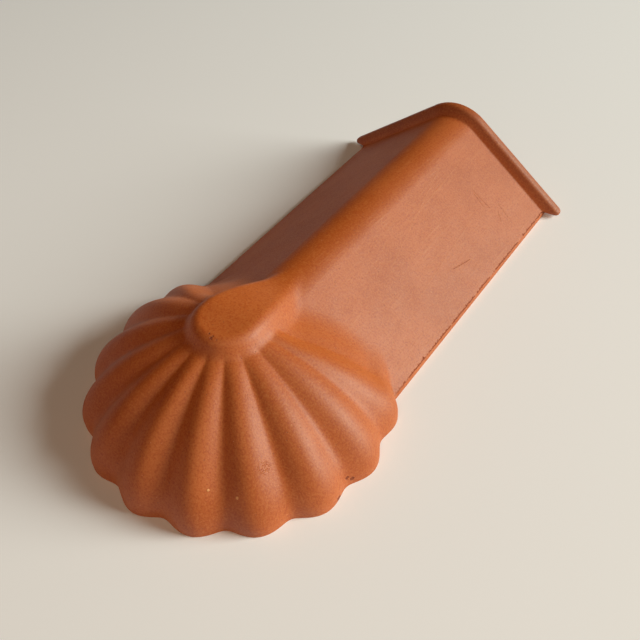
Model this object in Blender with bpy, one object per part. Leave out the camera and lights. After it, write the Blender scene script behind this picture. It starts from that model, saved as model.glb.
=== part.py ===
# Shell-ended ridge tile: one pressed and fired piece of clay
# X runs across the tile, Y from the shell to the collar, Z up. The lower edges lie on Z = 0.
import math

import bmesh
import bpy

# Whole tile
WALL = 0.012

# Angular body with a rounded crest
BODY_WIDTH = 0.220
CREST_HEIGHT = 0.0815
CREST_RADIUS = 0.0360
EDGE_LIP = 0.0070
BODY_RUN = 0.3520

# Collar at the far end, standing proud of the body all round
COLLAR_RISE = 0.0092
COLLAR_UNDERSIDE = 0.0032
COLLAR_END_HEIGHT = 0.0042
COLLAR_THICKNESS = 0.0150
COLLAR_FACE_ANGLE = math.radians(58)
COLLAR_TOP_RADIUS = 0.0050
COLLAR_BACK_RADIUS = 0.0035

# Shell: a ribbed dome whose rim is a ring of lobes
SHELL_RADIUS = 0.1330
DOME_HEIGHT = 0.0945
DOME_FULLNESS = 1.64
RIBS = 11
RIB_PITCH = math.radians(22.7)
NOTCH_DEPTH = 0.0075
RIB_RELIEF = 0.0051
LAST_RIB_DROP = 0.0085
SHELL_BLEND = 0.0080
# Depth of the front ribs and of the last ones, as shares of the relief
RIB_RELIEF_SHARES = (1.0, 0.30)
# Roundness of the ribs' crests at the middle of the dome and at its rim, 0 being a sharp crest
CREST_SOFTNESS = (0.05, 0.45)

# Where ribs grow out of the dome and fade at its rim, as shares of its radius
RIB_GROWTH = (0.20, 0.45)
RIB_FADE = (0.84, 1.0)
# Between which ribs, counted from the front one, the ribs flatten and the shell drops towards the body
RIB_FLATTENING = (2.5, 5.0)
RIB_DROP = (4.5, 5.6)

# Knob: the teardrop in which the crest ends, on top of the shell
KNOB_HEIGHT = 0.1010
KNOB_FLAT_RADIUS = 0.0200
KNOB_EDGE_RADIUS = 0.0110
KNOB_WALL_ANGLE = math.radians(62)
KNOB_TAIL = 0.1000
KNOB_SINK = 0.0050
KNOB_BLEND = 0.0055

# How finely the surface is cut into faces
STEPS_PER_RIB = 8
FAN_STEPS = 14
BODY_STEPS = 4
COLLAR_TOP_STEPS = 4
COLLAR_BACK_STEPS = 3
EDGE_SEARCH = (0.3, 1.4)
EDGE_SEARCH_STEPS = 40
# Rows as pairs: share of the way from spine to edge at which a group ends, and its number of rows
INNER_ROW_GROUPS = ((0.15, 3), (0.80, 5), (1.0, 3))
OUTER_ROW_GROUPS = ((0.10, 2), (0.34, 9), (0.80, 6), (0.955, 4), (1.0, 3))

MERGE_DISTANCE = 1e-5
SHARP_ANGLE = math.radians(40)

# Colour of the fired clay
CLAY_COLOUR = (0.53, 0.20, 0.09, 1.0)
CLAY_ROUGHNESS = 0.85

OVERALL_LENGTH = SHELL_RADIUS + BODY_RUN + COLLAR_THICKNESS
SHELL_Y = SHELL_RADIUS - OVERALL_LENGTH / 2
COLLAR_FRONT_Y = SHELL_Y + BODY_RUN
BACK_Y = OVERALL_LENGTH / 2
HALF_WIDTH = BODY_WIDTH / 2
RIB_REACH = RIBS / 2


def smooth_step(value, limits):
    share = min(max((value - limits[0]) / (limits[1] - limits[0]), 0.0), 1.0)
    return share * share * (3 - 2 * share)


def smooth_max(first, second, blend):
    overlap = max(blend - abs(first - second), 0.0) / blend
    return max(first, second) + overlap * overlap * blend / 4


def between(start, end, share):
    return start + (end - start) * share


def slope_angle():
    # The slope runs from the top of the lower edge and is tangent to the crest's arc.
    rise = CREST_HEIGHT - EDGE_LIP - CREST_RADIUS
    return math.atan2(rise, HALF_WIDTH) + math.asin(CREST_RADIUS / math.hypot(HALF_WIDTH, rise))


SLOPE = slope_angle()


def ridge_height(x, offset):
    # Height of the body's cross-section, moved outwards (or inwards if negative) by an offset
    radius = CREST_RADIUS + offset
    tangent = radius * math.sin(SLOPE)
    top = CREST_HEIGHT + offset
    if abs(x) <= tangent:
        return top - radius + math.sqrt(radius * radius - x * x)
    return top - radius * (1 - math.cos(SLOPE)) - math.tan(SLOPE) * (abs(x) - tangent)


def groove(rib, softness):
    # 0 on a rib's crest and 1 in a valley; past the last rib the shell stays at valley depth
    if abs(rib) >= RIB_REACH:
        return 1.0
    wave = math.sqrt(math.cos(math.pi * rib) ** 2 + softness ** 2)
    return 1 - (wave - softness) / (math.sqrt(1 + softness ** 2) - softness)


def signed_power(value, exponent):
    return math.copysign(abs(value) ** exponent, value)


def dome_height(x, y, radius, height, depth, relief):
    distance = math.hypot(x, y - SHELL_Y)
    rib = math.atan2(abs(x), SHELL_Y - y) / RIB_PITCH
    valley = groove(rib, between(*CREST_SOFTNESS, distance / radius))
    share = distance / (radius - depth * valley)
    profile = signed_power(1 - share ** DOME_FULLNESS, 1 / DOME_FULLNESS)
    growth = smooth_step(share, RIB_GROWTH)
    fade = 1 - smooth_step(share, RIB_FADE)
    flatter = between(*RIB_RELIEF_SHARES, smooth_step(rib, RIB_FLATTENING))
    drop = LAST_RIB_DROP * smooth_step(rib, RIB_DROP)
    return EDGE_LIP + (height - EDGE_LIP) * profile - (relief * flatter * valley * share + drop) * growth * fade


def knob_height(x, y):
    along = smooth_step(SHELL_Y - y, (-KNOB_TAIL, 0.0))
    top = between(CREST_HEIGHT - KNOB_SINK, KNOB_HEIGHT, along)
    side = abs(x) if y > SHELL_Y else math.hypot(x, y - SHELL_Y)
    reach = max(side - KNOB_FLAT_RADIUS * along, 0.0)
    tangent = KNOB_EDGE_RADIUS * math.sin(KNOB_WALL_ANGLE)
    if reach <= tangent:
        return top - KNOB_EDGE_RADIUS + math.sqrt(KNOB_EDGE_RADIUS ** 2 - reach * reach)
    foot = top - KNOB_EDGE_RADIUS * (1 - math.cos(KNOB_WALL_ANGLE))
    return foot - math.tan(KNOB_WALL_ANGLE) * (reach - tangent)


def ridge_reach(x, y):
    # In front of the shell's middle the body turns into a cone that stays under the dome.
    return x if y > SHELL_Y else math.hypot(x, y - SHELL_Y)


def outer_height(x, y):
    dome = dome_height(x, y, SHELL_RADIUS, DOME_HEIGHT, NOTCH_DEPTH, RIB_RELIEF)
    shell = smooth_max(dome, ridge_height(ridge_reach(x, y), 0.0), SHELL_BLEND)
    return smooth_max(shell, knob_height(x, y), KNOB_BLEND)


def inner_height(x, y):
    inner_radius = SHELL_RADIUS - NOTCH_DEPTH - WALL
    dome = dome_height(x, y, inner_radius, DOME_HEIGHT - WALL, 0.0, 0.0) - EDGE_LIP
    return smooth_max(dome, ridge_height(ridge_reach(x, y), -WALL), SHELL_BLEND)


def edge_share(height, level, spine, rim):
    # Share of the way from spine to rim, and past it, at which a surface comes down to a level
    near, far = EDGE_SEARCH
    for _ in range(EDGE_SEARCH_STEPS):
        middle = (near + far) / 2
        x = between(spine[0], rim[0], middle)
        y = between(spine[1], rim[1], middle)
        if height(x, y) > level:
            near = middle
        else:
            far = middle
    return near


def row_shares(groups):
    shares = [0.0]
    for end, count in groups:
        start = shares[-1]
        shares += [between(start, end, step / count) for step in range(1, count + 1)]
    return shares


OUTER_SHARES = row_shares(OUTER_ROW_GROUPS)
INNER_SHARES = row_shares(INNER_ROW_GROUPS)


def section(spine, rim):
    # Closed half section: outer surface from the spine down, lower edge, inner surface back up
    outer_edge = edge_share(outer_height, EDGE_LIP, spine, rim)
    inner_edge = edge_share(inner_height, 0.0, spine, rim)
    points = []
    for share in OUTER_SHARES:
        x = between(spine[0], rim[0], share * outer_edge)
        y = between(spine[1], rim[1], share * outer_edge)
        z = EDGE_LIP if share == 1.0 else outer_height(x, y)
        points.append((x, y, z))
    edge_x, edge_y, _ = points[-1]
    points += [(edge_x, edge_y, EDGE_LIP)] * 2
    points.append((edge_x, edge_y, 0.0))
    for share in reversed(INNER_SHARES):
        x = between(spine[0], rim[0], share * inner_edge)
        y = between(spine[1], rim[1], share * inner_edge)
        z = 0.0 if share == 1.0 else inner_height(x, y)
        points.append((x, y, z))
    return points


def collar_section(y, offset):
    # The body's section with its outer surface moved out; the collar's blunt ends overhang the lower edge.
    inner_edge = edge_share(inner_height, 0.0, (0.0, BACK_Y), (HALF_WIDTH, BACK_Y)) * HALF_WIDTH
    underside = between(EDGE_LIP, COLLAR_UNDERSIDE, offset / COLLAR_RISE)
    end_height = underside + COLLAR_END_HEIGHT * offset / COLLAR_RISE
    end_x = HALF_WIDTH + (ridge_height(HALF_WIDTH, offset) - end_height) / math.tan(SLOPE)
    points = [(end_x * share, y, ridge_height(end_x * share, offset)) for share in OUTER_SHARES]
    points.append((end_x, y, underside))
    points.append((HALF_WIDTH, y, underside))
    points.append((HALF_WIDTH, y, 0.0))
    for share in reversed(INNER_SHARES):
        x = inner_edge * share
        points.append((x, y, 0.0 if share == 1.0 else ridge_height(x, -WALL)))
    return points


def shell_sections():
    sections = []
    steps = round(RIB_REACH * STEPS_PER_RIB)
    for step in range(steps + 1):
        angle = RIB_REACH * RIB_PITCH * step / steps
        rim = (SHELL_RADIUS * math.sin(angle), SHELL_Y - SHELL_RADIUS * math.cos(angle))
        sections.append(section((0.0, SHELL_Y), rim))
    return sections


def fan_sections():
    # Sections turn from radial, at the shell's last valley, to square across the body.
    start_y = SHELL_Y - (SHELL_RADIUS - NOTCH_DEPTH) * math.cos(RIB_REACH * RIB_PITCH)
    end_y = SHELL_Y + KNOB_TAIL + HALF_WIDTH / 2
    sections = []
    for step in range(1, FAN_STEPS + 1):
        share = step / FAN_STEPS
        spine = (0.0, between(SHELL_Y, end_y, share))
        sections.append(section(spine, (HALF_WIDTH, between(start_y, end_y, share))))
    return sections, end_y


def body_sections(start_y):
    sections = []
    for step in range(1, BODY_STEPS + 1):
        y = between(start_y, COLLAR_FRONT_Y, step / BODY_STEPS)
        sections.append(collar_section(y, 0.0))
    return sections


def collar_sections():
    # A sloping front face, an arc over into the top, and an arc down to the back edge
    arc_rise = COLLAR_TOP_RADIUS * (1 - math.cos(COLLAR_FACE_ANGLE))
    arc_start = (COLLAR_RISE - arc_rise) / math.tan(COLLAR_FACE_ANGLE)
    sections = []
    for step in range(COLLAR_TOP_STEPS + 1):
        angle = COLLAR_FACE_ANGLE * (1 - step / COLLAR_TOP_STEPS)
        along = arc_start + COLLAR_TOP_RADIUS * (math.sin(COLLAR_FACE_ANGLE) - math.sin(angle))
        offset = COLLAR_RISE - COLLAR_TOP_RADIUS * (1 - math.cos(angle))
        sections.append(collar_section(COLLAR_FRONT_Y + along, offset))
    for step in range(COLLAR_BACK_STEPS + 1):
        angle = math.pi / 2 * step / COLLAR_BACK_STEPS
        y = BACK_Y - COLLAR_BACK_RADIUS * (1 - math.sin(angle))
        offset = COLLAR_RISE - COLLAR_BACK_RADIUS * (1 - math.cos(angle))
        sections.append(collar_section(y, offset))
    return sections


def half_tile_mesh():
    fan, fan_end = fan_sections()
    sections = shell_sections() + fan + body_sections(fan_end) + collar_sections()
    mesh = bmesh.new()
    rings = [[mesh.verts.new(point) for point in points] for points in sections]
    for ring, following in zip(rings, rings[1:]):
        for row in range(len(ring) - 1):
            mesh.faces.new((ring[row], ring[row + 1], following[row + 1], following[row]))
    mesh.faces.new(rings[-1])
    bmesh.ops.remove_doubles(mesh, verts=mesh.verts, dist=MERGE_DISTANCE)
    return mesh


def clay_material():
    material = bpy.data.materials.new("fired clay")
    material.use_nodes = True
    shader = material.node_tree.nodes["Principled BSDF"]
    shader.inputs["Base Color"].default_value = CLAY_COLOUR
    shader.inputs["Roughness"].default_value = CLAY_ROUGHNESS
    shader.inputs["Metallic"].default_value = 0.0
    return material


def build_tile():
    half = half_tile_mesh()
    everything = half.verts[:] + half.edges[:] + half.faces[:]
    bmesh.ops.mirror(half, geom=everything, axis="X", merge_dist=MERGE_DISTANCE)
    bmesh.ops.remove_doubles(half, verts=half.verts, dist=MERGE_DISTANCE)
    bmesh.ops.recalc_face_normals(half, faces=half.faces)
    if half.calc_volume(signed=True) < 0:
        bmesh.ops.reverse_faces(half, faces=half.faces)
    data = bpy.data.meshes.new("ridge_tile")
    half.to_mesh(data)
    half.free()
    data.shade_smooth()
    data.set_sharp_from_angle(angle=SHARP_ANGLE)
    data.materials.append(clay_material())
    return bpy.data.objects.new("ridge_tile", data)


def main():
    for leftover in list(bpy.data.objects):
        bpy.data.objects.remove(leftover)
    collection = bpy.data.collections.new("Ridge tile")
    bpy.context.scene.collection.children.link(collection)
    collection.objects.link(build_tile())


main()
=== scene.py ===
# Looks of a shell-ended ridge tile: pressed and fired terracotta with its grain, drag lines and edge burrs
# X runs across the tile, Y from the shell to the collar, Z up. Lengths are in metres.
import math

import bpy
from mathutils import Matrix, Vector


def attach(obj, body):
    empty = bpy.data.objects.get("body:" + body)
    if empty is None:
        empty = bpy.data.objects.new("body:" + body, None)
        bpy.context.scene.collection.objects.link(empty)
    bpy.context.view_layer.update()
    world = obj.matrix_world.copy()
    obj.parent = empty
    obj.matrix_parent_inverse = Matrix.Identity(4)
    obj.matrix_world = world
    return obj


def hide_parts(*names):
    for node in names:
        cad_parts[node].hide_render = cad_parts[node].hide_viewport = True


# Sizes of the tile, each one a named input of the tree that shapes it
SIZES = {
    "Wall": 0.012,
    "Crest Height": 0.0815,
    "Crest Radius": 0.0360,
    "Edge Lip": 0.0070,
    "Shell Radius": 0.1330,
    "Dome Height": 0.0945,
    "Dome Fullness": 1.64,
    "Rib Pitch": math.radians(22.7),
    "Notch Depth": 0.0075,
    "Rib Relief": 0.0051,
    "Crease Softness": 0.05,
    "Rim Softness": 0.45,
    "Last Rib Relief": 0.30,
    "Last Rib Drop": 0.0085,
    "Shell Blend": 0.0080,
    "Knob Height": 0.1010,
    "Knob Flat Radius": 0.0200,
    "Knob Edge Radius": 0.0110,
    "Knob Wall Angle": math.radians(62),
    "Knob Tail": 0.1000,
    "Knob Sink": 0.0050,
    "Knob Blend": 0.0055,
}

# Sizes that only the plan of the sections needs
BODY_WIDTH = 0.220
BODY_RUN = 0.3520
RIBS = 11
COLLAR_RISE = 0.0092
COLLAR_UNDERSIDE = 0.0032
COLLAR_END_HEIGHT = 0.0042
COLLAR_THICKNESS = 0.0150
COLLAR_FACE_ANGLE = math.radians(58)
COLLAR_TOP_RADIUS = 0.0050
COLLAR_BACK_RADIUS = 0.0035
COLLAR_FOOT_FILLET = 0.0011

# Finish of the surface, inputs of the same tree
FINISH = {
    "Unevenness": 0.0003,
    "Burr Density": 60000.0,
    "Burr Size": 0.00045,
}

# Scales of the unevenness, the ripples' share on the outer side, and the height below which it dies away
SWELL_SCALE = 24.0
RIPPLE_SCALE = 95.0
OUTER_RIPPLES = 0.25
UNEVEN_FROM = 0.004

# Crumbs along the lower edge: how far in from the side, how far from the shell, and between which heights
BURR_BAND = 0.003
BURR_START = 0.1
BURR_LEVELS = (0.0045, 0.0080)
BURR_SHAPES = ((0.5, 0.5, 0.25), (1.1, 1.6, 0.7))
BURR_PLACE_SEED = 7
BURR_SHAPE_SEED = 11

MERGE_DISTANCE = 1e-5
SHARP_ANGLE = math.radians(40)

# What each point of the plan knows, and the names that are cleared once the tile has its form
PLAN_VECTORS = ("spine", "rim", "reach")
PLAN_NUMBERS = ("inset", "outer", "inner", "height", "rise", "level")
CLEARED_NAMES = PLAN_VECTORS + ("inset", "height", "rise", "level", "near", "far", "middle", "above",
                                "outer edge", "lip edge", "inner edge")

# Shares of the dome's radius between which ribs grow and fade, and ribs between which the shell drops
RIB_GROWTH = (0.20, 0.45)
RIB_FADE = (0.84, 1.0)
RIB_DROP = (4.5, 5.6)
RIB_FLATTENING = (2.5, 5.0)

# Worn corners of the lower edge. The lip's grows over the first third of the way from shell to body.
LIP_ROUND = 0.0014
LIP_ROUND_GROWTH = 3
FOOT_ROUND = 0.0012
INNER_FOOT_BLEND = 0.0020
COLLAR_END_FILLET = 0.0016

OVERALL_LENGTH = SIZES["Shell Radius"] + BODY_RUN + COLLAR_THICKNESS
SHELL_Y = SIZES["Shell Radius"] - OVERALL_LENGTH / 2
COLLAR_FRONT_Y = SHELL_Y + BODY_RUN
BACK_Y = OVERALL_LENGTH / 2
HALF_WIDTH = BODY_WIDTH / 2
RIB_REACH = RIBS / 2
SLOPE_RISE = SIZES["Crest Height"] - SIZES["Edge Lip"] - SIZES["Crest Radius"]
SLOPE_RUN = math.hypot(HALF_WIDTH, SLOPE_RISE)
SLOPE = math.atan2(SLOPE_RISE, HALF_WIDTH) + math.asin(SIZES["Crest Radius"] / SLOPE_RUN)

# How finely the sections are laid out along the tile
STEPS_PER_RIB = 22
FAN_STEPS = 34
BODY_STEPS = 64
COLLAR_FOOT_STEPS = 4
COLLAR_FACE_STEPS = 4
COLLAR_TOP_STEPS = 8
COLLAR_BACK_STEPS = 6

# Rows of a section as (share of the way to its edge, rows up to there), which crowd towards the rim
OUTER_ROWS = ((0.10, 6), (0.34, 26), (0.80, 32))
INNER_ROWS = ((0.16, 7), (0.80, 18), (0.95, 7))
RIM_SHARE = 0.2
RIM_STEPS = 20
RIM_CROWDING = 1.7

# Rows of a section's small roundings and faces, from the outer corner down and in
CORNER_STEPS = 5
UNDERSIDE_STEPS = 3
FILLET_STEPS = 4
LIP_STEPS = 3
FOOT_STEPS = 4
REST_STEPS = 4
INNER_FOOT_STEPS = 3

# Shares of the way from spine to rim between which an edge is looked for, and how often that is halved
EDGE_SEARCH = (0.3, 1.4)
EDGE_HALVINGS = 22


class Value:
    """A socket whose number varies over the surface. Arithmetic on it adds Math nodes."""

    def __init__(self, graph, socket):
        self.graph = graph
        self.socket = socket

    def __add__(self, other):
        return self.graph.math("ADD", self, other)

    def __radd__(self, other):
        return self.graph.math("ADD", other, self)

    def __sub__(self, other):
        return self.graph.math("SUBTRACT", self, other)

    def __rsub__(self, other):
        return self.graph.math("SUBTRACT", other, self)

    def __mul__(self, other):
        return self.graph.math("MULTIPLY", self, other)

    def __rmul__(self, other):
        return self.graph.math("MULTIPLY", other, self)

    def __truediv__(self, other):
        return self.graph.math("DIVIDE", self, other)

    def __rtruediv__(self, other):
        return self.graph.math("DIVIDE", other, self)

    def __pow__(self, other):
        return self.graph.math("POWER", self, other)

    def __abs__(self):
        return self.graph.math("ABSOLUTE", self)

    def __lt__(self, other):
        return self.graph.math("LESS_THAN", self, other)

    def __gt__(self, other):
        return self.graph.math("GREATER_THAN", self, other)


class Graph:
    """Adds nodes to one tree."""

    def __init__(self, tree):
        self.tree = tree

    def node(self, kind, settings=None, sockets=None):
        node = self.tree.nodes.new(kind)
        for name, setting in (settings or {}).items():
            setattr(node, name, setting)
        for key, value in (sockets or {}).items():
            if isinstance(value, Value):
                self.tree.links.new(value.socket, node.inputs[key])
            else:
                node.inputs[key].default_value = value
        return node

    def value(self, node, output=0):
        return Value(self, node.outputs[output])

    def math(self, operation, *values):
        return self.value(self.node("ShaderNodeMath", {"operation": operation}, dict(enumerate(values))))

    def root(self, value):
        return self.math("SQRT", self.larger(value, 0.0))

    def larger(self, first, second):
        return self.math("MAXIMUM", first, second)

    def smaller(self, first, second):
        return self.math("MINIMUM", first, second)

    def step(self, value, start, end):
        sockets = {"Value": value, "From Min": start, "From Max": end}
        return self.value(self.node("ShaderNodeMapRange", {"interpolation_type": "SMOOTHSTEP"}, sockets))

    def choose(self, mask, chosen, otherwise):
        return otherwise + mask * (chosen - otherwise)

    def smooth_max(self, first, second, blend):
        overlap = self.larger(blend - abs(first - second), 0.0) / blend
        return self.larger(first, second) + overlap * overlap * blend / 4

    def vector(self, operation, *values, output=0):
        node = self.node("ShaderNodeVectorMath", {"operation": operation}, dict(enumerate(values)))
        return self.value(node, output)

    def split(self, vector):
        node = self.node("ShaderNodeSeparateXYZ", sockets={0: vector})
        return [self.value(node, axis) for axis in range(3)]

    def join(self, x, y, z):
        return self.value(self.node("ShaderNodeCombineXYZ", sockets={0: x, 1: y, 2: z}))

    def blend_vectors(self, factor, first, second):
        settings = {"data_type": "VECTOR", "clamp_factor": False}
        return self.value(self.node("ShaderNodeMix", settings, {0: factor, 4: first, 5: second}), 1)

    def scaled(self, vector, scale):
        node = self.node("ShaderNodeVectorMath", {"operation": "SCALE"}, {"Vector": vector, "Scale": scale})
        return self.value(node)

    def noise(self, place, scale, detail, roughness=0.5):
        sockets = {"Vector": place, "Scale": scale, "Detail": detail, "Roughness": roughness}
        return self.value(self.node("ShaderNodeTexNoise", sockets=sockets))

    # Material trees only

    def blend_colours(self, factor, first, second):
        node = self.node("ShaderNodeMix", {"data_type": "RGBA"}, {0: factor, 6: first, 7: second})
        return self.value(node, 2)

    # Geometry trees only

    def named(self, name, kind="FLOAT"):
        return self.value(self.node("GeometryNodeInputNamedAttribute", {"data_type": kind}, {"Name": name}))

    def store(self, geometry, name, value):
        settings = {"data_type": "FLOAT", "domain": "POINT"}
        sockets = {"Geometry": geometry, "Name": name, "Value": value}
        return self.value(self.node("GeometryNodeStoreNamedAttribute", settings, sockets))

    def position(self):
        return self.value(self.node("GeometryNodeInputPosition"))

    def joined(self, first, second):
        node = self.node("GeometryNodeJoinGeometry", sockets={"Geometry": first})
        self.tree.links.new(second.socket, node.inputs["Geometry"])
        return self.value(node)


# The tile's form as heights over its plan


class TileForm:
    """Heights of the tile's surfaces over a place (x, y), written as nodes."""

    def __init__(self, graph, sizes):
        self.graph = graph
        self.sizes = sizes

    def ridge_height(self, x, offset):
        # The body's cross-section, moved outwards (or inwards if negative) by an offset
        radius = self.sizes["Crest Radius"] + offset
        tangent = radius * math.sin(SLOPE)
        top = self.sizes["Crest Height"] + offset
        arc = top - radius + self.graph.root(radius * radius - x * x)
        slant = top - radius * (1 - math.cos(SLOPE)) - (abs(x) - tangent) * math.tan(SLOPE)
        return self.graph.choose(abs(x) < tangent, arc, slant)

    def groove(self, rib, soft):
        # 0 on a rib's crest and 1 in a valley; past the last rib the shell stays at valley depth
        cosine = self.graph.math("COSINE", rib * math.pi)
        wave = self.graph.root(cosine * cosine + soft * soft)
        valley = 1 - (wave - soft) / (self.graph.root(1 + soft * soft) - soft)
        return self.graph.choose(rib < RIB_REACH, valley, 1.0)

    def dome_height(self, x, y, radius, height, depth, relief):
        away = y - SHELL_Y
        distance = self.graph.root(x * x + away * away)
        rib = self.graph.math("ARCTAN2", abs(x), SHELL_Y - y) / self.sizes["Rib Pitch"]
        softer = self.sizes["Rim Softness"] - self.sizes["Crease Softness"]
        valley = self.groove(rib, self.sizes["Crease Softness"] + softer * distance / radius)
        share = distance / (radius - depth * valley)
        fullness = self.sizes["Dome Fullness"]
        fall = 1 - share ** fullness
        profile = self.graph.math("SIGN", fall) * abs(fall) ** (1 / fullness)
        growth = self.graph.step(share, *RIB_GROWTH)
        fade = 1 - self.graph.step(share, *RIB_FADE)
        drop = self.sizes["Last Rib Drop"] * self.graph.step(rib, *RIB_DROP)
        flatter = 1 - (1 - self.sizes["Last Rib Relief"]) * self.graph.step(rib, *RIB_FLATTENING)
        lip = self.sizes["Edge Lip"]
        return lip + (height - lip) * profile - (relief * flatter * valley * share + drop) * growth * fade

    def knob_height(self, x, y):
        along = self.graph.step(SHELL_Y - y, 0 - self.sizes["Knob Tail"], 0.0)
        low = self.sizes["Crest Height"] - self.sizes["Knob Sink"]
        top = low + along * (self.sizes["Knob Height"] - low)
        side = self.graph.choose(y > SHELL_Y, abs(x), self.radial(x, y))
        reach = self.graph.larger(side - self.sizes["Knob Flat Radius"] * along, 0.0)
        radius = self.sizes["Knob Edge Radius"]
        angle = self.sizes["Knob Wall Angle"]
        tangent = radius * self.graph.math("SINE", angle)
        edge = top - radius + self.graph.root(radius * radius - reach * reach)
        foot = top - radius * (1 - self.graph.math("COSINE", angle))
        wall = foot - self.graph.math("TANGENT", angle) * (reach - tangent)
        return self.graph.choose(reach < tangent, edge, wall)

    def radial(self, x, y):
        away = y - SHELL_Y
        return self.graph.root(x * x + away * away)

    def ridge_reach(self, x, y):
        # In front of the shell's middle the body turns into a cone that stays under the dome.
        return self.graph.choose(y > SHELL_Y, x, self.radial(x, y))

    def outer_height(self, x, y, offset):
        size = self.sizes
        shape = (size["Shell Radius"], size["Dome Height"], size["Notch Depth"], size["Rib Relief"])
        dome = self.dome_height(x, y, *shape)
        ridge = self.ridge_height(self.ridge_reach(x, y), offset)
        shell = self.graph.smooth_max(dome, ridge, size["Shell Blend"])
        return self.graph.smooth_max(shell, self.knob_height(x, y), size["Knob Blend"])

    def inner_height(self, x, y):
        size = self.sizes
        radius = size["Shell Radius"] - size["Notch Depth"] - size["Wall"]
        dome = self.dome_height(x, y, radius, size["Dome Height"] - size["Wall"], 0.0, 0.0) - size["Edge Lip"]
        ridge = self.ridge_height(self.ridge_reach(x, y), 0 - size["Wall"])
        return self.graph.smooth_max(dome, ridge, size["Shell Blend"])


def place_along(graph, share):
    # Place in plan at a share of the way from a section's spine to its rim
    spine, rim = graph.named("spine", "FLOAT_VECTOR"), graph.named("rim", "FLOAT_VECTOR")
    return graph.split(graph.blend_vectors(share, spine, rim))[:2]


def find_edge(graph, geometry, name, height, level):
    """Keeps, under a name, the share of the way from spine to rim where a surface comes down to a level."""
    geometry = graph.store(geometry, "near", EDGE_SEARCH[0])
    geometry = graph.store(geometry, "far", EDGE_SEARCH[1])
    start = graph.node("GeometryNodeRepeatInput")
    end = graph.node("GeometryNodeRepeatOutput")
    start.pair_with_output(end)
    start.inputs["Iterations"].default_value = EDGE_HALVINGS
    graph.tree.links.new(geometry.socket, start.inputs["Geometry"])
    geometry = graph.value(start, "Geometry")
    geometry = graph.store(geometry, "middle", (graph.named("near") + graph.named("far")) / 2)
    x, y = place_along(graph, graph.named("middle"))
    geometry = graph.store(geometry, "above", height(x, y) > level)
    middle, above = graph.named("middle"), graph.named("above")
    geometry = graph.store(geometry, "near", graph.choose(above, middle, graph.named("near")))
    geometry = graph.store(geometry, "far", graph.choose(above, graph.named("far"), middle))
    graph.tree.links.new(geometry.socket, end.inputs["Geometry"])
    return graph.store(graph.value(end, "Geometry"), name, graph.named("near"))


# Plan of the sections and rows


def shell_and_body_plan():
    """Sections of half the tile, from the front rib round to the collar: spine, rim, rise, worn corner."""
    shell_radius = SIZES["Shell Radius"]
    sections = []
    steps = round(RIB_REACH * STEPS_PER_RIB)
    for step in range(steps + 1):
        angle = RIB_REACH * SIZES["Rib Pitch"] * step / steps
        rim = (shell_radius * math.sin(angle), SHELL_Y - shell_radius * math.cos(angle))
        sections.append(((0.0, SHELL_Y), rim, 0.0, 0.0))
    start_y = SHELL_Y - (shell_radius - SIZES["Notch Depth"]) * math.cos(RIB_REACH * SIZES["Rib Pitch"])
    end_y = SHELL_Y + SIZES["Knob Tail"] + HALF_WIDTH / 2
    for step in range(1, FAN_STEPS + 1):
        share = step / FAN_STEPS
        spine = (0.0, SHELL_Y + (end_y - SHELL_Y) * share)
        rim = (HALF_WIDTH, start_y + (end_y - start_y) * share)
        sections.append((spine, rim, 0.0, LIP_ROUND * min(share * LIP_ROUND_GROWTH, 1)))
    body_end = COLLAR_FRONT_Y - COLLAR_FOOT_FILLET
    for step in range(1, BODY_STEPS + 1):
        y = end_y + (body_end - end_y) * step / BODY_STEPS
        sections.append(((0.0, y), (HALF_WIDTH, y), 0.0, LIP_ROUND))
    for y, rise in collar_profile():
        corner = COLLAR_END_HEIGHT / 2 * rise / COLLAR_RISE
        sections.append(((0.0, y), (HALF_WIDTH, y), rise, corner))
    return sections


def collar_profile():
    """Points (y, rise) of the collar: foot fillet, sloping face, rounded top and rounded back edge."""
    face = (math.cos(COLLAR_FACE_ANGLE), math.sin(COLLAR_FACE_ANGLE))
    points = []
    for step in range(1, COLLAR_FOOT_STEPS + 1):
        turn = (step / COLLAR_FOOT_STEPS) ** 2
        y = COLLAR_FRONT_Y + COLLAR_FOOT_FILLET * (turn * face[0] - (1 - step / COLLAR_FOOT_STEPS) ** 2)
        points.append((y, COLLAR_FOOT_FILLET * turn * face[1]))
    foot_rise = points[-1][1]
    face_rise = COLLAR_RISE - COLLAR_TOP_RADIUS * (1 - math.cos(COLLAR_FACE_ANGLE))
    for step in range(1, COLLAR_FACE_STEPS):
        rise = foot_rise + (face_rise - foot_rise) * step / COLLAR_FACE_STEPS
        points.append((COLLAR_FRONT_Y + rise / math.tan(COLLAR_FACE_ANGLE), rise))
    arc_start = COLLAR_FRONT_Y + face_rise / math.tan(COLLAR_FACE_ANGLE)
    for step in range(COLLAR_TOP_STEPS + 1):
        angle = COLLAR_FACE_ANGLE * (1 - step / COLLAR_TOP_STEPS)
        y = arc_start + COLLAR_TOP_RADIUS * (math.sin(COLLAR_FACE_ANGLE) - math.sin(angle))
        points.append((y, COLLAR_RISE - COLLAR_TOP_RADIUS * (1 - math.cos(angle))))
    for step in range(COLLAR_BACK_STEPS + 1):
        angle = math.pi / 2 * step / COLLAR_BACK_STEPS
        y = BACK_Y - COLLAR_BACK_RADIUS * (1 - math.sin(angle))
        points.append((y, COLLAR_RISE - COLLAR_BACK_RADIUS * (1 - math.cos(angle))))
    return points


def row_shares(groups):
    shares = [0.0]
    for end, count in groups:
        start = shares[-1]
        shares += [start + (end - start) * step / count for step in range(1, count + 1)]
    return shares


def outer_row_shares():
    # Rows crowd towards the rim, where the dome turns down
    by_the_rim = [1 - RIM_SHARE * (1 - step / RIM_STEPS) ** RIM_CROWDING for step in range(1, RIM_STEPS)]
    return row_shares(OUTER_ROWS) + by_the_rim


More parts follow.
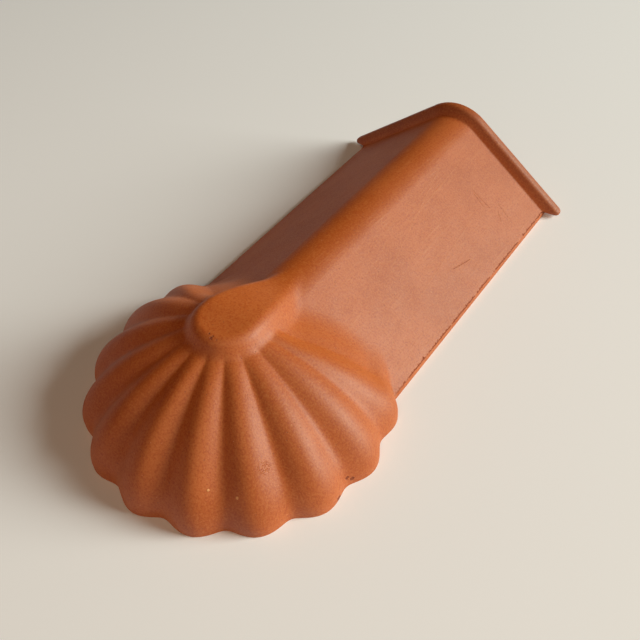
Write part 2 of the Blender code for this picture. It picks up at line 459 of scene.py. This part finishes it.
def lower_edge(rise):
    # Height of the lower edge's top, or of the collar's underside, and that of the collar's blunt end
    lip = SIZES["Edge Lip"]
    return lip + (COLLAR_UNDERSIDE - lip) * rise / COLLAR_RISE, COLLAR_END_HEIGHT * rise / COLLAR_RISE


def section_rows(rim_length, rise, corner):
    """Rows of one section: shares of the outer, lip and inner edges, inset, outer and inner skin, height."""
    lip = lower_edge(rise)[0]
    fillet = COLLAR_END_FILLET * rise / COLLAR_RISE
    flat_end = 1 - corner / rim_length
    rows = [(share * flat_end, 0, 0, 0.0, 1, 0, 0.0) for share in outer_row_shares()]
    for step in range(CORNER_STEPS + 1):
        turn = step / CORNER_STEPS
        rows.append((1 - (1 - flat_end) * (1 - turn) ** 2, 0, 0, 0.0, 1, 0, -corner * turn ** 2))
    # End of the collar and its underside, which close up to nothing along the body
    for step in range(1, UNDERSIDE_STEPS + 1):
        turn = step / UNDERSIDE_STEPS
        height = lip + corner * (1 - turn) ** 2 if rise else lip - corner
        rows.append((1, 0, 0, corner * turn ** 2 if rise else 0.0, 0, 0, height))
    for step in range(FILLET_STEPS + 1):
        turn = step / FILLET_STEPS
        height = lip - fillet * turn ** 2 if rise else lip - corner
        rows.append((0, 1, 0, -fillet * (1 - turn) ** 2, 0, 0, height))
    face_top = lip - fillet if rise else lip - corner
    for step in range(1, LIP_STEPS + 1):
        rows.append((0, 1, 0, 0.0, 0, 0, face_top + (FOOT_ROUND - face_top) * step / LIP_STEPS))
    for step in range(1, FOOT_STEPS + 1):
        turn = step / FOOT_STEPS
        rows.append((0, 1, 0, FOOT_ROUND * turn ** 2, 0, 0, FOOT_ROUND * (1 - turn) ** 2))
    for step in range(1, REST_STEPS):
        rows.append((0, 1 - step / REST_STEPS, step / REST_STEPS, 0.0, 0, 0, 0.0))
    for step in range(INNER_FOOT_STEPS - 1, -INNER_FOOT_STEPS, -1):
        rows.append((0, 0, 1, -INNER_FOOT_BLEND * step / INNER_FOOT_STEPS, 0, 1, 0.0))
    return rows + [(0, 0, share, 0.0, 0, 1, 0.0) for share in reversed(row_shares(INNER_ROWS))]


def plan_mesh():
    """Half of the tile as a sheet of faces whose points know their place in plan but have no form yet."""
    sections = shell_and_body_plan()
    columns = {name: [] for name in PLAN_VECTORS + PLAN_NUMBERS}
    for spine, rim, rise, corner in sections:
        length = math.dist(spine, rim)
        level = sum(lower_edge(rise))
        for outer, lip, inner, inset, on_outer, on_inner, height in section_rows(length, rise, corner):
            columns["spine"].append((*spine, 0.0))
            columns["rim"].append((*rim, 0.0))
            columns["reach"].append((outer, lip, inner))
            columns["inset"].append(inset / length)
            columns["outer"].append(float(on_outer))
            columns["inner"].append(float(on_inner))
            columns["height"].append(height)
            columns["rise"].append(rise)
            columns["level"].append(level)
    rows = len(columns["rim"]) // len(sections)
    faces = []
    for section in range(len(sections) - 1):
        for row in range(rows - 1):
            first = section * rows + row
            faces.append((first, first + 1, first + rows + 1, first + rows))
    last = (len(sections) - 1) * rows
    faces.append(tuple(range(last, last + rows)))
    mesh = bpy.data.meshes.new("tile plan")
    mesh.from_pydata(columns["spine"], [], faces)
    for name, values in columns.items():
        vector = name in PLAN_VECTORS
        attribute = mesh.attributes.new(name, "FLOAT_VECTOR" if vector else "FLOAT", "POINT")
        flat = [number for value in values for number in value] if vector else values
        attribute.data.foreach_set("vector" if vector else "value", flat)
    return mesh


# The tree that shapes the tile


def tile_tree(clay):
    """Geometry Nodes tree that raises the plan into the tile, mirrors it, and roughens it."""
    tree = bpy.data.node_groups.new("Shell ended ridge tile", "GeometryNodeTree")
    tree.interface.new_socket(name="Geometry", in_out="INPUT", socket_type="NodeSocketGeometry")
    for name in SIZES | FINISH:
        tree.interface.new_socket(name=name, in_out="INPUT", socket_type="NodeSocketFloat")
    tree.interface.new_socket(name="Geometry", in_out="OUTPUT", socket_type="NodeSocketGeometry")
    graph = Graph(tree)
    given = graph.node("NodeGroupInput")
    sizes = {name: graph.value(given, name) for name in SIZES | FINISH}
    geometry = raise_half(graph, graph.value(given, "Geometry"), TileForm(graph, sizes))
    geometry = mirror_half(graph, geometry)
    geometry = roughen(graph, geometry, sizes)
    geometry = scatter_burrs(graph, geometry, sizes)
    geometry = shade(graph, geometry)
    geometry = graph.value(graph.node("GeometryNodeRealizeInstances", sockets={"Geometry": geometry}))
    sockets = {"Geometry": geometry, "Material": clay}
    geometry = graph.value(graph.node("GeometryNodeSetMaterial", sockets=sockets))
    graph.node("NodeGroupOutput", sockets={"Geometry": geometry})
    return tree


def raise_half(graph, geometry, form):
    lip = form.sizes["Edge Lip"]
    rise = graph.named("rise")
    level = graph.named("level")
    geometry = find_edge(graph, geometry, "outer edge", lambda x, y: form.outer_height(x, y, rise), level)
    geometry = find_edge(graph, geometry, "lip edge", lambda x, y: form.outer_height(x, y, 0.0), lip)
    geometry = find_edge(graph, geometry, "inner edge", form.inner_height, 0.0)
    edges = graph.join(graph.named("outer edge"), graph.named("lip edge"), graph.named("inner edge"))
    reach = graph.vector("DOT_PRODUCT", graph.named("reach", "FLOAT_VECTOR"), edges, output=1)
    x, y = place_along(graph, reach - graph.named("inset"))
    outer = graph.named("outer") * form.outer_height(x, y, rise)
    inner = graph.named("inner") * graph.smooth_max(form.inner_height(x, y), 0.0, INNER_FOOT_BLEND)
    sockets = {"Geometry": geometry, "Position": graph.join(x, y, outer + inner + graph.named("height"))}
    return graph.value(graph.node("GeometryNodeSetPosition", sockets=sockets))


def mirror_half(graph, geometry):
    turned = graph.node("GeometryNodeTransform", sockets={"Geometry": geometry, "Scale": (-1.0, 1.0, 1.0)})
    flipped = graph.value(graph.node("GeometryNodeFlipFaces", sockets={"Mesh": graph.value(turned)}))
    sockets = {"Geometry": graph.joined(geometry, flipped), "Distance": MERGE_DISTANCE}
    return graph.value(graph.node("GeometryNodeMergeByDistance", sockets=sockets))


def roughen(graph, geometry, sizes):
    # Low unevenness of a hand-finished pressing, which only takes clay away: rougher inside, none at the foot
    place = graph.position()
    swells = graph.noise(place, SWELL_SCALE, 2.0)
    ripples = graph.noise(place, RIPPLE_SCALE, 3.0)
    ripple_share = OUTER_RIPPLES + graph.named("inner")
    above_rest = graph.step(graph.split(place)[2], 0.0, UNEVEN_FROM)
    depth = (swells + ripples * ripple_share) * sizes["Unevenness"] * above_rest
    normal = graph.value(graph.node("GeometryNodeInputNormal"))
    sockets = {"Geometry": geometry, "Offset": graph.scaled(normal, 0 - depth)}
    return graph.value(graph.node("GeometryNodeSetPosition", sockets=sockets))


def scatter_burrs(graph, geometry, sizes):
    # Crumbs of clay along the top of the lower edge, where the mould's halves met
    x, y, z = graph.split(graph.position())
    beside = (abs(x) > HALF_WIDTH - BURR_BAND) * (y > SHELL_Y + BURR_START) * (y < COLLAR_FRONT_Y)
    level = (z > BURR_LEVELS[0]) * (z < BURR_LEVELS[1])
    sockets = {"Mesh": geometry, "Selection": beside * level, "Density": sizes["Burr Density"],
               "Seed": BURR_PLACE_SEED}
    points = graph.node("GeometryNodeDistributePointsOnFaces", sockets=sockets)
    crumb = graph.node("GeometryNodeMeshIcoSphere", sockets={"Radius": 1.0, "Subdivisions": 2})
    sockets = {0: BURR_SHAPES[0], 1: BURR_SHAPES[1], "Seed": BURR_SHAPE_SEED}
    shape = graph.node("FunctionNodeRandomValue", {"data_type": "FLOAT_VECTOR"}, sockets)
    scale = graph.scaled(graph.value(shape), sizes["Burr Size"])
    sockets = {"Points": graph.value(points), "Instance": graph.value(crumb),
               "Rotation": graph.value(points, "Rotation"), "Scale": scale}
    crumbs = graph.value(graph.node("GeometryNodeInstanceOnPoints", sockets=sockets))
    crumbs = graph.value(graph.node("GeometryNodeRealizeInstances", sockets={0: crumbs}))
    return graph.joined(geometry, crumbs)


def shade(graph, geometry):
    # Smooth all over, except at the few crisp corners
    sockets = {"Geometry": geometry, "Shade Smooth": True}
    geometry = graph.value(graph.node("GeometryNodeSetShadeSmooth", sockets=sockets))
    crisp = graph.value(graph.node("GeometryNodeInputMeshEdgeAngle")) > SHARP_ANGLE
    sockets = {"Geometry": geometry, "Selection": crisp, "Shade Smooth": False}
    return graph.value(graph.node("GeometryNodeSetShadeSmooth", {"domain": "EDGE"}, sockets))


def shaped_tile(clay):
    """The tile as a plain mesh, baked from its plan and its tree."""
    plan = bpy.data.objects.new("tile plan", plan_mesh())
    plan.data.materials.append(clay)
    bpy.context.scene.collection.objects.link(plan)
    modifier = plan.modifiers.new("Form", "NODES")
    modifier.node_group = tile_tree(clay)
    for socket in modifier.node_group.interface.items_tree:
        if socket.in_out == "INPUT" and socket.socket_type == "NodeSocketFloat":
            modifier[socket.identifier] = (SIZES | FINISH)[socket.name]
    graph = bpy.context.evaluated_depsgraph_get()
    mesh = bpy.data.meshes.new_from_object(plan.evaluated_get(graph))
    bpy.data.objects.remove(plan)
    mesh.name = "shell_ridge_tile"
    for name in [attribute.name for attribute in mesh.attributes if attribute.name in CLEARED_NAMES]:
        mesh.attributes.remove(mesh.attributes[name])
    tile = bpy.data.objects.new("shell_ridge_tile", mesh)
    bpy.context.scene.collection.objects.link(tile)
    return tile


# The clay


# Tones of the fired clay and what marks it, with the painted shade on the collar and the painted shadow along
# the seam
CLAY_TONE = (0.418, 0.089, 0.004, 1.0)
PALE_TONE = (0.480, 0.118, 0.018, 1.0)
DEEP_TONE = (0.370, 0.066, 0.005, 1.0)
DARK_SPECK = (0.120, 0.035, 0.018, 1.0)
PALE_SPECK = (0.780, 0.400, 0.220, 1.0)
INSIDE_TONE = (0.500, 0.160, 0.065, 1.0)
# Painted shadow along the seam; the same dark tone also colours the pits
SEAM_SHADOW_AND_PIT_TONE = (0.200, 0.028, 0.001, 1.0)
PALE_SAND = (0.495, 0.152, 0.034, 1.0)
DARK_SAND = (0.345, 0.052, 0.002, 1.0)
CHIP_TONE = (0.180, 0.024, 0.001, 1.0)
# Painted shade: the dark tone laid over the collar where it is in shade
COLLAR_SHADE_TONE = (0.160, 0.038, 0.010, 1.0)
PALE_GRAIN = (0.760, 0.400, 0.150, 1.0)

# Patterns in the clay as (scale, detail, roughness)
CLOUDS = (16.0, 3.0, 0.5)
MOTTLING = (70.0, 4.0, 0.6)
GRAIN = (900.0, 3.0, 0.7)
SAND = (620.0, 2.0, 0.65)
CRACKS = (330.0, 1.0, 0.5)
CRACK_SHARPNESS = 22.0

# Grains in the clay as (scale, rarity, size in its cell)
DARK_SPECKS = (420.0, 0.94, 0.20)
PALE_SPECKS = (300.0, 0.97, 0.14)

# Raggedness of the marks: its pattern, its reach in metres, and the shares that thin lines take of it
RAGGED = (600.0, 2.0, 0.5)
RAGGED_REACH = 0.004
RAGGED_SCRATCHES = 0.3
RAGGED_DRAWN_LINES = 0.2

# Painted shade on the collar, darkening its outer side from its foot upwards
COLLAR_SHADE_REACH = (0.001, 0.004)
COLLAR_SHADE_SHARE = 0.34

# Heights and depths of the finest relief, in metres
GRAIN_HEIGHT = 0.00010
SAND_HEIGHT = 0.00016
MOTTLING_HEIGHT = 0.00012
DRAG_HEIGHT = 0.00005
PALE_GRAIN_HEIGHT = 0.0003
SPECK_DEPTH = 0.00012
SEAM_DEPTH = 0.0002
PIT_DEPTH = 0.0006
CRACK_DEPTH = 0.0002
SCRATCH_DEPTH = 0.00025

# Sheen of the clay
ROUGHNESS = 0.58
DARK_MARK_ROUGHNESS = 0.35
SPECULAR_LEVEL = 0.66
DIFFUSE_ROUGHNESS = 0.7

# Marks as (x, y, z, radius): pits at the knob's edge, chips by the rim, a crackled patch, pale grains
PITS = ((0.0006, -0.1382, 0.1006, 0.0010), (0.0050, -0.1388, 0.1005, 0.0009),
        (0.0095, -0.1396, 0.0998, 0.0008), (0.0046, -0.1407, 0.0999, 0.0013))
CHIPS = ((0.1253, -0.1354, 0.0078, 0.0024), (0.1230, -0.1387, 0.0115, 0.0020),
         (0.1247, -0.1522, 0.0030, 0.0028))
CRACKLES = ((0.0818, -0.1829, 0.0469, 0.0070),)
PALE_GRAINS = ((0.0552, -0.2158, 0.0370, 0.0012), (0.0749, -0.2075, 0.0332, 0.0014))
# Scratches in plan as (from x, y, to x, y)
SCRATCHES = ((0.0574, 0.1780, 0.0707, 0.1757), (0.0812, 0.1868, 0.0883, 0.1808),
             (0.0770, 0.1940, 0.0905, 0.1920), (0.0840, 0.0920, 0.0890, 0.1162),
             (0.0553, 0.1797, 0.0748, 0.1811))
DRAWN_LINES = ((0.0248, 0.1635, 0.0484, 0.0453), (0.0700, 0.1500, 0.0790, 0.0400),
               (0.0330, 0.1880, 0.0370, 0.0900))
SCRATCH_WIDTH = 0.0004

# Lines left where the body was drawn from the mould: their stretch, thinness, patches and start
DRAG_STRETCH = (210.0, 5.0, 120.0)
DRAG_SHARPNESS = 45.0
DRAG_PATCHES = (30.0, 1.0, 0.5)
DRAG_START = (0.02, 0.12)

# The mould's seam, a shallow groove with painted shadow of its burrs along it: how it wanders, swells and
# breaks off, its half width, and where it runs
SEAM_WANDERING = (200.0, 4.0, 0.7)
SEAM_WANDER = 0.0030
SEAM_SWELLING = (330.0, 2.0, 0.5)
SEAM_BREAKING = (45.0, 3.0, 0.7)
SEAM_WIDTH = 0.0006
SEAM_BLOB_WIDTH = 0.007
SEAM_BAND = (0.006, 0.003)
SEAM_START = (0.06, 0.09)
SEAM_END = 0.002


def clay_material():
    """Terracotta: mottled tones, grain, specks, drag lines, the mould's ragged seam with painted shadow along
    it, pits and scratches, and painted shade on the collar.
    """
    material = bpy.data.materials.new("fired_clay_surface")
    material.use_nodes = True
    material.node_tree.nodes.clear()
    graph = Graph(material.node_tree)
    place = graph.value(graph.node("ShaderNodeTexCoord"), "Object")
    x, y, z = graph.split(place)
    inside = graph.value(graph.node("ShaderNodeAttribute", {"attribute_name": "inner"}), "Fac")
    outside = 1 - inside

    clouds = graph.noise(place, *CLOUDS)
    mottling = graph.noise(place, *MOTTLING)
    grain = graph.noise(place, *GRAIN)
    sand = graph.noise(place, *SAND)
    drag = drag_lines(graph, place, y) * outside
    dark_specks = specks(graph, place, *DARK_SPECKS)
    pale_specks = specks(graph, place, *PALE_SPECKS)
    # Painted shadow: the dark seam line stands for the shadow its burrs cast, over a shallow groove in the
    # relief
    seam_and_shadow = seam_groove_and_shadow(graph, place, x, y, z) * outside
    # Painted shade: the collar's outer side is darkened from its foot backwards, where shade falls on it
    collar_shade = graph.step(y, COLLAR_FRONT_Y + COLLAR_SHADE_REACH[0], COLLAR_FRONT_Y + COLLAR_SHADE_REACH[1]) * outside
    ragged = (graph.noise(place, *RAGGED) - 0.5) * RAGGED_REACH
    shaken = graph.vector("ADD", place, graph.join(ragged, 0 - ragged, ragged))
    pits = spots(graph, shaken, PITS) * outside
    chips = spots(graph, shaken, CHIPS) * outside
    cracks = graph.larger(1 - abs(graph.noise(place, *CRACKS) - 0.5) * CRACK_SHARPNESS, 0.0)
    crackle = spots(graph, place, CRACKLES) * cracks * outside
    pale_grains = spots(graph, place, PALE_GRAINS) * outside
    scratches = scratch_marks(graph, x + ragged * RAGGED_SCRATCHES, y, SCRATCHES) * outside
    drawn = scratch_marks(graph, x + ragged * RAGGED_DRAWN_LINES, y, DRAWN_LINES) * outside

    # Layers of colour from the clay itself up to the marks on it, each with the share that it covers
    colour = graph.blend_colours(graph.step(clouds, 0.35, 0.65), CLAY_TONE, PALE_TONE)
    layers = (
        (graph.step(mottling, 0.48, 0.75) * 0.20, DEEP_TONE),
        (inside * 0.7, INSIDE_TONE),
        # Painted shade on the collar
        (collar_shade * COLLAR_SHADE_SHARE, COLLAR_SHADE_TONE),
        (graph.step(grain, 0.45, 0.80) * 0.35, DEEP_TONE),
        (graph.step(grain, 0.50, 0.20) * 0.30, PALE_TONE),
        (graph.step(sand, 0.50, 0.66) * 0.60, DARK_SAND),
        (graph.step(sand, 0.50, 0.34) * 0.60, PALE_SAND),
        (graph.larger(drag * 0.5, drawn * 0.6), PALE_SAND),
        (dark_specks * 0.75, DARK_SPECK),
        (pale_specks * 0.55, PALE_SPECK),
        (pale_grains * 0.8, PALE_GRAIN),
        (graph.smaller(chips + crackle * 0.4 + scratches * 0.4, 1.0) * 0.8, CHIP_TONE),
        # Painted shadow along the seam, and the same dark tone in the pits
        (graph.smaller(seam_and_shadow + pits, 1.0) * 0.85, SEAM_SHADOW_AND_PIT_TONE),
    )
    for share, tone in layers:
        colour = graph.blend_colours(share, colour, tone)

    roughness = ROUGHNESS + (mottling - 0.5) * 0.10 + (grain - 0.5) * 0.12 + inside * 0.12
    roughness = roughness + graph.smaller(seam_and_shadow + pits + chips, 1.0) * DARK_MARK_ROUGHNESS
    relief = grain * GRAIN_HEIGHT + sand * SAND_HEIGHT + mottling * MOTTLING_HEIGHT
    relief = relief + (drag + drawn) * DRAG_HEIGHT + pale_grains * PALE_GRAIN_HEIGHT
    hollows = dark_specks * SPECK_DEPTH + seam_and_shadow * SEAM_DEPTH + (pits + chips) * PIT_DEPTH
    hollows = hollows + crackle * CRACK_DEPTH + scratches * SCRATCH_DEPTH
    sockets = {"Strength": 1.0, "Distance": 1.0, "Height": relief - hollows}
    bump = graph.value(graph.node("ShaderNodeBump", sockets=sockets))
    sockets = {"Base Color": colour, "Roughness": roughness, "Normal": bump,
               "Specular IOR Level": SPECULAR_LEVEL, "Diffuse Roughness": DIFFUSE_ROUGHNESS}
    shader = graph.node("ShaderNodeBsdfPrincipled", sockets=sockets)
    graph.node("ShaderNodeOutputMaterial", sockets={"Surface": graph.value(shader)})
    return material


def drag_lines(graph, place, y):
    # Thin lines left along the body where it was drawn from the mould
    lines = graph.noise(graph.vector("MULTIPLY", place, DRAG_STRETCH), 1.0, 2.0)
    thin = graph.larger(1 - abs(lines - 0.5) * DRAG_SHARPNESS, 0.0)
    patches = graph.step(graph.noise(place, *DRAG_PATCHES), 0.40, 0.60)
    return thin * graph.step(y, SHELL_Y + DRAG_START[0], SHELL_Y + DRAG_START[1]) * patches


def specks(graph, place, scale, rarity, size):
    # Grains in a few cells of a pattern: 1 inside a grain
    cells = graph.node("ShaderNodeTexVoronoi", sockets={"Vector": place, "Scale": scale})
    chance = graph.split(graph.value(cells, "Color"))[0]
    return graph.step(graph.value(cells, "Distance"), size, size * 0.5) * (chance > rarity)


def seam_groove_and_shadow(graph, place, x, y, z):
    # Thin ragged line at the top of the lower edge, along the body, thicker in places and broken in a few.
    # Its dark colour is painted shadow of the burrs that overhang it; its depth is a real shallow groove.
    along = graph.vector("MULTIPLY", place, (0.0, 1.0, 0.0))
    wander = graph.noise(along, *SEAM_WANDERING) - 0.5
    blobs = graph.larger(graph.noise(along, *SEAM_SWELLING) - 0.52, 0.0)
    unbroken = graph.step(graph.noise(along, *SEAM_BREAKING), 0.40, 0.47)
    width = SEAM_WIDTH + blobs * SEAM_BLOB_WIDTH
    line = graph.step(abs(z - SIZES["Edge Lip"] - wander * SEAM_WANDER), width, width * 0.4)
    beside = graph.step(abs(x), HALF_WIDTH - SEAM_BAND[0], HALF_WIDTH - SEAM_BAND[1])
    past_shell = graph.step(y, SHELL_Y + SEAM_START[0], SHELL_Y + SEAM_START[1])
    before_collar = graph.step(y, COLLAR_FRONT_Y + SEAM_END, COLLAR_FRONT_Y)
    return line * unbroken * beside * past_shell * before_collar


def spots(graph, place, marks):
    # 1 inside round marks
    inside = 0.0
    for *centre, radius in marks:
        distance = graph.vector("DISTANCE", place, tuple(centre), output=1)
        inside = graph.larger(graph.step(distance, radius, radius * 0.6), inside)
    return inside


def scratch_marks(graph, x, y, lines):
    # 1 along straight marks in plan
    marks = 0.0
    for from_x, from_y, to_x, to_y in lines:
        run_x, run_y = to_x - from_x, to_y - from_y
        away_x, away_y = x - from_x, y - from_y
        share = (away_x * run_x + away_y * run_y) / (run_x * run_x + run_y * run_y)
        share = graph.smaller(graph.larger(share, 0.0), 1.0)
        off_x, off_y = away_x - share * run_x, away_y - share * run_y
        distance = graph.root(off_x * off_x + off_y * off_y)
        marks = graph.larger(graph.step(distance, SCRATCH_WIDTH, SCRATCH_WIDTH * 0.3), marks)
    return marks


# The studio


CAMERA_PLACE = (0.31094, -0.39464, 0.52856)
CAMERA_AZIMUTH = math.radians(38.546)
CAMERA_ELEVATION = math.radians(46.946)
CAMERA_ROLL = math.radians(-3.815)
CAMERA_LENS = 44.016

# Lights as (name, azimuth, elevation, distance, size, power, colour)
LIGHTS = (
    ("Key light", math.radians(31), math.radians(24), 7.2, 3.6, 790.0, (1.0, 1.0, 0.85)),
    ("Fill light", math.radians(-62), math.radians(50), 3.6, 2.2, 37.0, (1.0, 0.62, 0.36)),
)
SURROUND_TONE = (1.0, 0.90, 0.80, 1.0)
SURROUND_STRENGTH = 0.02
FLOOR_TONE = (0.86, 0.89, 0.97, 1.0)
FLOOR_ROUGHNESS = 0.9
FLOOR_REACH = 6.0


def add_camera():
    """Camera at the photograph's angle."""
    azimuth, elevation = CAMERA_AZIMUTH, CAMERA_ELEVATION
    level = Vector((math.sin(azimuth), -math.cos(azimuth), 0.0))
    back = level * math.cos(elevation) + Vector((0.0, 0.0, math.sin(elevation)))
    right = Vector((math.cos(azimuth), math.sin(azimuth), 0.0))
    turn = Matrix((right, back.cross(right), back)).transposed().to_4x4()
    camera = bpy.data.objects.new("Camera", bpy.data.cameras.new("Camera"))
    camera.data.lens = CAMERA_LENS
    camera.matrix_world = Matrix.Translation(CAMERA_PLACE) @ turn @ Matrix.Rotation(CAMERA_ROLL, 4, "Z")
    bpy.context.scene.collection.objects.link(camera)
    bpy.context.scene.camera = camera


def add_light(name, azimuth, elevation, distance, size, power, colour):
    """Square soft light that looks at the tile's middle. Azimuth turns from +X to +Y."""
    level = math.cos(elevation)
    direction = (math.cos(azimuth) * level, math.sin(azimuth) * level, math.sin(elevation))
    light = bpy.data.objects.new(name, bpy.data.lights.new(name, "AREA"))
    light.data.size = size
    light.data.energy = power
    light.data.color = colour
    light.location = Vector(direction).normalized() * distance
    light.rotation_euler = Vector(direction).to_track_quat("Z", "Y").to_euler()
    bpy.context.scene.collection.objects.link(light)


def add_studio():
    """Pale floor, a soft key light from the right, a weak fill and a pale surround."""
    scene = bpy.context.scene
    scene.view_settings.view_transform = "Standard"
    for light in LIGHTS:
        add_light(*light)
    scene.world = bpy.data.worlds.new("Pale surround")
    scene.world.use_nodes = True
    background = scene.world.node_tree.nodes["Background"]
    background.inputs["Color"].default_value = SURROUND_TONE
    background.inputs["Strength"].default_value = SURROUND_STRENGTH
    floor = bpy.data.meshes.new("floor")
    corners = [(x * FLOOR_REACH, y * FLOOR_REACH, 0) for x, y in ((-1, -1), (1, -1), (1, 1), (-1, 1))]
    floor.from_pydata(corners, [], [(0, 1, 2, 3)])
    floor_object = bpy.data.objects.new("floor", floor)
    scene.collection.objects.link(floor_object)
    floor_paint = bpy.data.materials.new("pale_floor")
    floor_paint.use_nodes = True
    shader = floor_paint.node_tree.nodes["Principled BSDF"]
    shader.inputs["Base Color"].default_value = FLOOR_TONE
    shader.inputs["Roughness"].default_value = FLOOR_ROUGHNESS
    floor.materials.append(floor_paint)


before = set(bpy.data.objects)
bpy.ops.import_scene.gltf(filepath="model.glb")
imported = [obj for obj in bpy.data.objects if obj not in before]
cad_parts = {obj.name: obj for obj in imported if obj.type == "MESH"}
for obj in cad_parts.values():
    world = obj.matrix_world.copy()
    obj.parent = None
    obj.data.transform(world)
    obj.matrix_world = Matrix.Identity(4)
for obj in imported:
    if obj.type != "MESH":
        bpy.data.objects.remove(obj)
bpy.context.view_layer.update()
tile = shaped_tile(clay_material())
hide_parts("ridge_tile")
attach(tile, "root")
add_camera()
add_studio()
